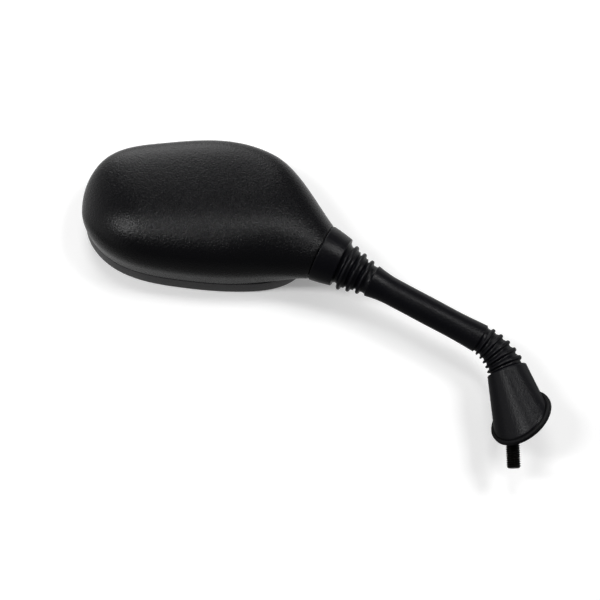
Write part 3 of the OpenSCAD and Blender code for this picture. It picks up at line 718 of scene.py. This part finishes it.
def surface(name, colour, rough, metallic=0.0, grain=None, mottle=None, level=0.5):
    """A Principled material. grain is (scale, distance in metres) of fine bumps, mottle is
    (scale, spread) of slow changes in roughness and level is the Specular IOR Level."""
    mat = bpy.data.materials.new(name)
    mat.use_nodes = True
    tree = mat.node_tree
    shader = tree.nodes["Principled BSDF"]
    shader.inputs["Base Color"].default_value = (*colour, 1)
    shader.inputs["Roughness"].default_value = rough
    shader.inputs["Metallic"].default_value = metallic
    shader.inputs["Specular IOR Level"].default_value = level
    place = tree.nodes.new("ShaderNodeTexCoord")
    if mottle:
        scale, spread = mottle
        noise = add_noise(tree, place, scale, 4)
        varied = add_range(tree, noise, 0, 1, rough - spread, rough + spread)
        tree.links.new(varied.outputs["Result"], shader.inputs["Roughness"])
    if grain:
        scale, distance = grain
        bump = tree.nodes.new("ShaderNodeBump")
        bump.inputs["Distance"].default_value = distance
        bump.inputs["Strength"].default_value = 1.0
        tree.links.new(add_noise(tree, place, scale, 2), bump.inputs["Height"])
        tree.links.new(bump.outputs["Normal"], shader.inputs["Normal"])
    return mat


def dress(ob, mat):
    ob.data.materials.clear()
    ob.data.materials.append(mat)


PLASTIC = surface("textured_black_plastic", (0.0016, 0.0016, 0.0022), 0.28,
                  grain=(1000, 0.00024), mottle=(1100, 0.11), level=0.19)
RIM_PLASTIC = surface("rim_black_plastic", (0.02, 0.0195, 0.021), 0.5,
                      grain=(1500, 0.0002), mottle=(60, 0.03), level=0.3)
RUBBER = surface("black_rubber", (0.0015, 0.0015, 0.0026), 0.34,
                 grain=(1000, 0.00014), mottle=(800, 0.08), level=0.15)
PAD_RUBBER = surface("pad_rubber", (0.0025, 0.0025, 0.003), 0.45,
                     grain=(900, 0.0001), mottle=(100, 0.08), level=0.1)
BLACK_STEEL = surface("black_steel", (0.0015, 0.0015, 0.001), 0.34,
                      grain=(1200, 0.00002), mottle=(200, 0.08), level=0.12)
ZINC = surface("zinc_steel", (0.62, 0.63, 0.65), 0.32, metallic=1.0, mottle=(150, 0.06))
SPRING = surface("spring_steel", (0.5, 0.5, 0.52), 0.3, metallic=1.0, mottle=(150, 0.05))
NYLON = surface("natural_nylon", (0.8, 0.78, 0.72), 0.35, mottle=(80, 0.05))
FOAM = surface("foam", (0.12, 0.12, 0.12), 0.85, grain=(1500, 0.0002))
BACKING = surface("backing_plastic", (0.05, 0.05, 0.05), 0.5, mottle=(80, 0.05))
GLASS = surface("mirror_glass", (0.86, 0.88, 0.89), 0.015, metallic=1.0, mottle=(6, 0.004))

dress(make_housing(), PLASTIC)
dress(make_rim(), RIM_PLASTIC)
for piece in make_boot():
    dress(piece, RUBBER)
dress(make_pad(), PAD_RUBBER)
dress(make_stem(), BLACK_STEEL)
for name, mat in {"mirror_glass": GLASS, "glass_pad": FOAM, "backing_plate": BACKING, "ball_socket": NYLON,
                  "outer_cup": NYLON, "inner_cup": NYLON, "clamp_plate": ZINC, "clamp_screws": ZINC,
                  "clamp_spring_1": SPRING, "clamp_spring_2": SPRING, "clamp_spring_3": SPRING,
                  "lock_nut": ZINC, "nut_washer": ZINC}.items():
    dress(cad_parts[name], mat)

# Table: half its side and its height in metres, and its paper's colour and own light
TABLE_HALF = 3.0
TABLE_Y = (FRONT_Y + 0.5) * MM
PAPER = (0.9, 0.9, 0.9, 1)
PAPER_GLOW = 0.2

# How bright the paper looks in a reflection, as a painted glow: painted shade at the low value up to the
# lower height, rising to white at the upper height
FADE_LOW_Z = 0.06
FADE_HIGH_Z = 0.17
FADE_LOW = 0.22


def make_paper():
    """White paper for camera rays that reach its upper side. Glossy and transmission rays that reach it see
    a painted glow instead: white higher up, with painted shade that darkens it towards -Z. All others pass,
    so that the world lights the object from below too."""
    mat = bpy.data.materials.new("white_table")
    mat.use_nodes = True
    tree = mat.node_tree
    tree.nodes.clear()
    out = tree.nodes.new("ShaderNodeOutputMaterial")
    paper = tree.nodes.new("ShaderNodeBsdfDiffuse")
    paper.inputs["Color"].default_value = PAPER
    glow = tree.nodes.new("ShaderNodeEmission")
    glow.inputs["Strength"].default_value = PAPER_GLOW
    lit = tree.nodes.new("ShaderNodeAddShader")
    clear = tree.nodes.new("ShaderNodeBsdfTransparent")
    painted_reflection_glow = tree.nodes.new("ShaderNodeEmission")
    pick = tree.nodes.new("ShaderNodeMixShader")
    show = tree.nodes.new("ShaderNodeMixShader")
    path = tree.nodes.new("ShaderNodeLightPath")
    place = tree.nodes.new("ShaderNodeNewGeometry")
    split = tree.nodes.new("ShaderNodeSeparateXYZ")
    link = tree.links.new
    link(place.outputs["Position"], split.inputs[0])
    seen = add_math(tree, "SUBTRACT", path.outputs["Is Camera Ray"], place.outputs["Backfacing"], clamp=True)
    bounced = add_math(tree, "ADD", path.outputs["Is Glossy Ray"], path.outputs["Is Transmission Ray"])
    mirrored = add_math(tree, "SUBTRACT", bounced, place.outputs["Backfacing"], clamp=True)
    # painted shade: the glow seen in reflections fades from white down to a low value towards -Z
    painted_shade_fade = add_range(tree, split.outputs["Z"], FADE_LOW_Z, FADE_HIGH_Z, FADE_LOW, 1)
    link(painted_shade_fade.outputs["Result"], painted_reflection_glow.inputs["Strength"])
    link(paper.outputs[0], lit.inputs[0])
    link(glow.outputs[0], lit.inputs[1])
    link(seen, pick.inputs[0])
    link(clear.outputs[0], pick.inputs[1])
    link(lit.outputs[0], pick.inputs[2])
    link(mirrored, show.inputs[0])
    link(pick.outputs[0], show.inputs[1])
    link(painted_reflection_glow.outputs[0], show.inputs[2])
    link(show.outputs[0], out.inputs["Surface"])
    return mat


def make_table():
    corners = [(-TABLE_HALF, -TABLE_HALF), (TABLE_HALF, -TABLE_HALF), (TABLE_HALF, TABLE_HALF),
               (-TABLE_HALF, TABLE_HALF)]
    mesh = bpy.data.meshes.new("table")
    mesh.from_pydata([(x, TABLE_Y, z) for x, z in corners], [], [(0, 1, 2, 3)])
    ob = bpy.data.objects.new("table", mesh)
    bpy.context.scene.collection.objects.link(ob)
    dress(ob, make_paper())


# World: grey above the table, and white to the sides and below it, where it darkens towards -Z
WORLD_LEVEL = 0.13
WORLD_LOW = 0.08
LOW_Z = -0.5
HIGH_Z = 0.2
ABOVE_Y = -0.1
BELOW_Y = 0.3
SIDE_START = 0.5


def make_world():
    """Sets the world's strength from the direction: the brighter of its under side and its sides."""
    world = bpy.data.worlds.new("surround")
    bpy.context.scene.world = world
    world.use_nodes = True
    tree = world.node_tree
    tree.nodes.clear()
    out = tree.nodes.new("ShaderNodeOutputWorld")
    sky = tree.nodes.new("ShaderNodeBackground")
    sky.inputs["Color"].default_value = (1, 1, 1, 1)
    place = tree.nodes.new("ShaderNodeTexCoord")
    split = tree.nodes.new("ShaderNodeSeparateXYZ")
    link = tree.links.new
    link(place.outputs["Generated"], split.inputs[0])
    up = add_range(tree, split.outputs["Z"], LOW_Z, HIGH_Z, WORLD_LOW, 1)
    under = add_range(tree, split.outputs["Y"], ABOVE_Y, BELOW_Y, WORLD_LEVEL, 1)
    link(up.outputs["Result"], under.inputs["To Max"])
    side = add_range(tree, add_math(tree, "ABSOLUTE", split.outputs["X"]), SIDE_START, 1, 0, 1)
    link(add_math(tree, "MAXIMUM", under.outputs["Result"], side.outputs["Result"]), sky.inputs["Strength"])
    link(sky.outputs[0], out.inputs["Surface"])


# Lamps and camera, in metres
LAMP_TARGET = np.array([-0.13, 0, 0.08])
CAMERA_AT = (-0.11978, -0.68721, -0.09768)
CAMERA_EL = -14.0
LENS = 73.32
SENSOR = 36.0


def place_object(name, data, right, up, back, place):
    """An object of data that looks along -back, with its axes right and up, at place."""
    ob = bpy.data.objects.new(name, data)
    rows = [[right[k], up[k], back[k], place[k]] for k in range(3)]
    ob.matrix_world = Matrix(rows + [[0, 0, 0, 1]])
    bpy.context.scene.collection.objects.link(ob)
    return ob


def make_light(name, direction, distance, width, height, radiance):
    """A rectangular lamp that faces the target, with its radiance on the scale where white is 1."""
    data = bpy.data.lights.new(name, "AREA")
    data.shape = "RECTANGLE"
    data.size, data.size_y = width, height
    data.energy = radiance * math.pi * width * height
    back = unit(np.array(direction, float))
    right = unit(np.cross([0, 0, 1.0], back))
    place_object(name, data, right, np.cross(back, right), back, LAMP_TARGET + distance * back)


def make_camera():
    data = bpy.data.cameras.new("camera")
    data.lens, data.sensor_width = LENS, SENSOR
    data.clip_start, data.clip_end = 0.05, 20
    up = (0, sin(CAMERA_EL), cos(CAMERA_EL))
    back = (0, -cos(CAMERA_EL), sin(CAMERA_EL))
    bpy.context.scene.camera = place_object("camera", data, (1, 0, 0), up, back, CAMERA_AT)


make_table()
make_world()
make_light("softbox_left", (-0.52, -0.85, 0.0), 1.1, 0.42, 0.16, 22)
make_light("softbox_middle", (0.0, -0.955, 0.3), 1.1, 0.27, 0.16, 14)
make_light("softbox_right", (0.5, -0.83, 0.24), 1.1, 0.32, 0.28, 16)
make_light("top_wall", (-0.24, -0.2, 0.95), 1.2, 0.9, 0.7, 4.4)
make_camera()
bpy.context.scene.view_settings.view_transform = "Standard"
